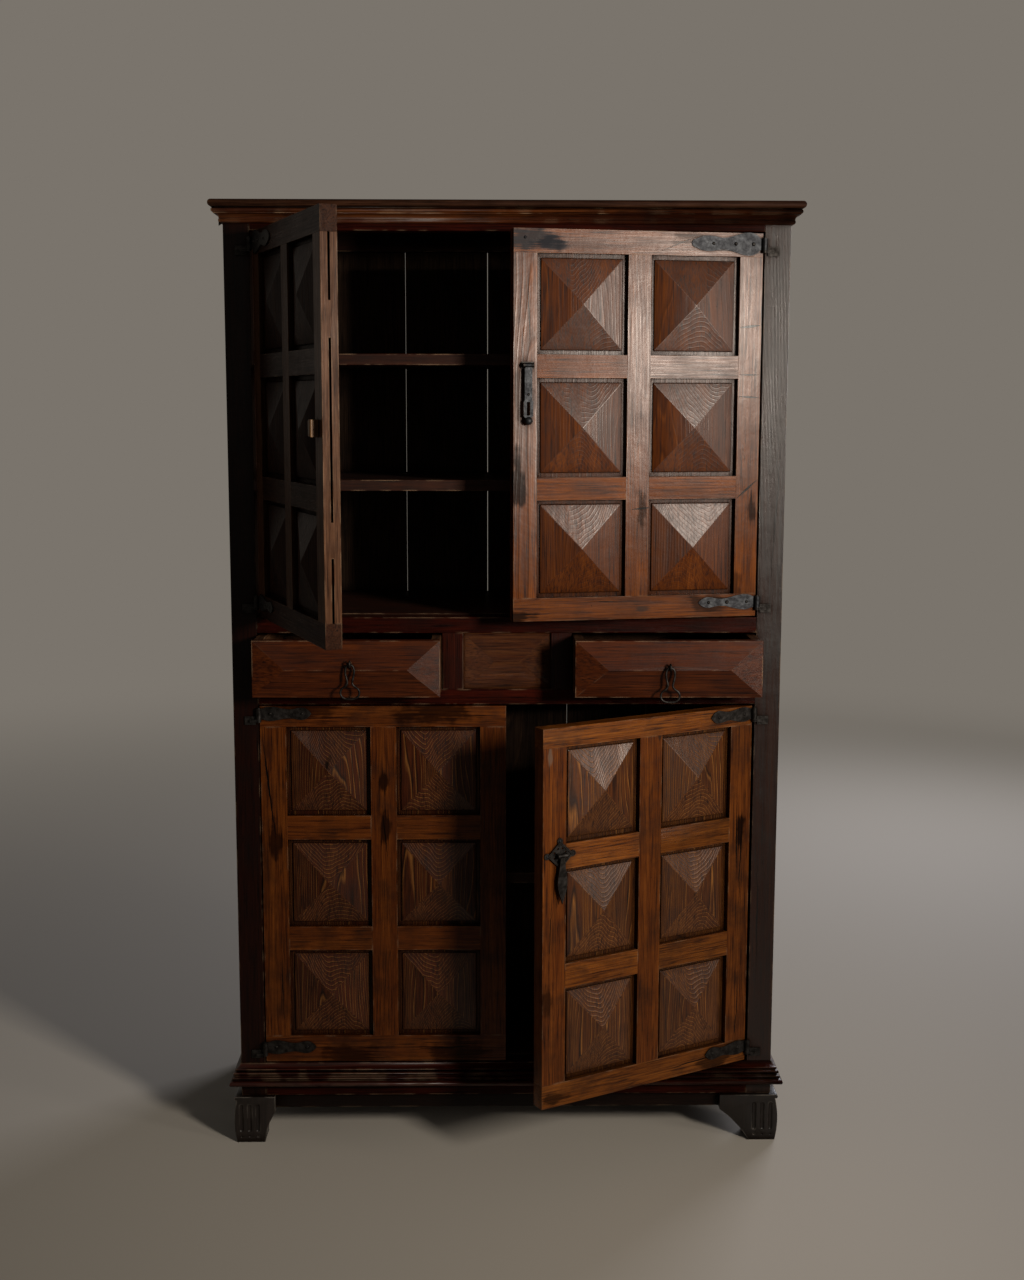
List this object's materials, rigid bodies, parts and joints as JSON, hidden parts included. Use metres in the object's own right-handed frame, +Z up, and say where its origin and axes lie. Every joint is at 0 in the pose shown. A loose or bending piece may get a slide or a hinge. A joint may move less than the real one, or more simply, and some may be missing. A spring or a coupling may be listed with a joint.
{
  "type": "court cupboard",
  "caption": "Joined wooden cupboard: two pointed-panel doors over two hipped drawers over two more doors, on fluted feet, with wrought straps, hasp, loops and pendant.",
  "frame": {"origin": "on the floor, midway between the sides, in the plane of the front posts' faces", "axes": "+X to the right as one faces the cupboard, the doors face -Y, +Z up"},
  "size_m": [1.15, 0.9236, 1.91],
  "materials": {
    "case_wood": "old waxed walnut, dark",
    "upper_door_wood": "worn walnut, grey-brown on the frame",
    "lower_door_wood": "worn walnut, orange-brown",
    "drawer_front_wood": "old waxed walnut",
    "inner_wood": "dry, unpolished boards",
    "wrought_iron": "hammered and dark with age"
  },
  "bodies": {
    "case": {"apron": "case_wood", "back_boards": "inner_wood", "back_rails": "inner_wood", "base_moulding": "case_wood", "base_rail": "case_wood", "bearer_rail": "case_wood", "centre_panel": "drawer_front_wood", "cornice": "case_wood", "drawer_muntins": "case_wood", "drawer_runners": "inner_wood", "frieze_rail": "case_wood", "hinge_pintles": "wrought_iron", "left_front_foot": "case_wood", "left_front_post": "case_wood", "left_rear_foot": "case_wood", "lower_floor": "inner_wood", "lower_shelf": "inner_wood", "middle_shelf": "inner_wood", "rear_posts": "case_wood", "right_front_foot": "case_wood", "right_front_post": "case_wood", "right_rear_foot": "case_wood", "shelf_battens": "inner_wood", "side_panels": "case_wood", "side_rails": "case_wood", "top_board": "case_wood", "upper_floor": "inner_wood", "upper_shelf": "inner_wood", "waist_rail": "case_wood"},
    "upper_left_door": {"upper_left_door_knob": "upper_door_wood", "upper_left_door_panels": "upper_door_wood", "upper_left_door_rails": "upper_door_wood", "upper_left_door_straps": "wrought_iron", "upper_left_door_uprights": "upper_door_wood"},
    "upper_right_door": {"upper_right_door_panels": "upper_door_wood", "upper_right_door_rails": "upper_door_wood", "upper_right_door_straps": "wrought_iron", "upper_right_door_uprights": "upper_door_wood", "hasp_staple": "wrought_iron"},
    "lower_left_door": {"lower_left_door_panels": "lower_door_wood", "lower_left_door_rails": "lower_door_wood", "lower_left_door_straps": "wrought_iron", "lower_left_door_uprights": "lower_door_wood"},
    "lower_right_door": {"lower_right_door_panels": "lower_door_wood", "lower_right_door_rails": "lower_door_wood", "lower_right_door_straps": "wrought_iron", "lower_right_door_uprights": "lower_door_wood", "escutcheon": "wrought_iron"},
    "left_drawer": {"left_drawer_bottom": "inner_wood", "left_drawer_eye": "wrought_iron", "left_drawer_front": "drawer_front_wood", "left_drawer_sides": "inner_wood"},
    "left_drawer_pull_loop": {"left_drawer_pull": "wrought_iron"},
    "right_drawer": {"right_drawer_bottom": "inner_wood", "right_drawer_eye": "wrought_iron", "right_drawer_front": "drawer_front_wood", "right_drawer_sides": "inner_wood"},
    "right_drawer_pull_loop": {"right_drawer_pull": "wrought_iron"},
    "hasp": {"hasp": "wrought_iron"},
    "pendant": {"pendant": "wrought_iron"}
  },
  "joints": [
    {"name": "upper_left_door_hinge", "type": "hinge", "parent": "case", "child": "upper_left_door", "pos_m": [-0.49875, -0.006, 1.103], "axis": [0, 0, -1], "range_deg": [-69.3, 80.7]},
    {"name": "upper_right_door_hinge", "type": "hinge", "parent": "case", "child": "upper_right_door", "pos_m": [0.49875, -0.006, 1.103], "axis": [0, 0, 1], "range_deg": [-11.2, 138.8]},
    {"name": "lower_left_door_hinge", "type": "hinge", "parent": "case", "child": "lower_left_door", "pos_m": [-0.49875, -0.006, 0.172], "axis": [0, 0, -1], "range_deg": [0, 150]},
    {"name": "lower_right_door_hinge", "type": "hinge", "parent": "case", "child": "lower_right_door", "pos_m": [0.49875, -0.006, 0.172], "axis": [0, 0, 1], "range_deg": [-29.8, 120.2]},
    {"name": "left_drawer_slide", "type": "slide", "parent": "case", "child": "left_drawer", "axis": [0, -1, 0], "range_m": [-0.095, 0.205]},
    {"name": "left_drawer_pull_swing", "type": "hinge", "parent": "left_drawer", "child": "left_drawer_pull_loop", "pos_m": [-0.306, -0.119, 1.0222], "axis": [-1, 0, 0], "range_deg": [-10, 150]},
    {"name": "right_drawer_slide", "type": "slide", "parent": "case", "child": "right_drawer", "axis": [0, -1, 0], "range_m": [-0.1, 0.2]},
    {"name": "right_drawer_pull_swing", "type": "hinge", "parent": "right_drawer", "child": "right_drawer_pull_loop", "pos_m": [0.315, -0.124, 1.0162], "axis": [-1, 0, 0], "range_deg": [-10, 150]},
    {"name": "hasp_swing", "type": "hinge", "parent": "upper_right_door", "child": "hasp", "pos_m": [0.03872, -0.10117, 1.595], "axis": [-0.981, -0.1942, 0], "range_deg": [0, 150]},
    {"name": "pendant_swing", "type": "hinge", "parent": "lower_right_door", "child": "pendant", "pos_m": [0.10222, -0.23771, 0.67433], "axis": [-0.8678, -0.497, 0], "range_deg": [0, 150]}
  ]
}
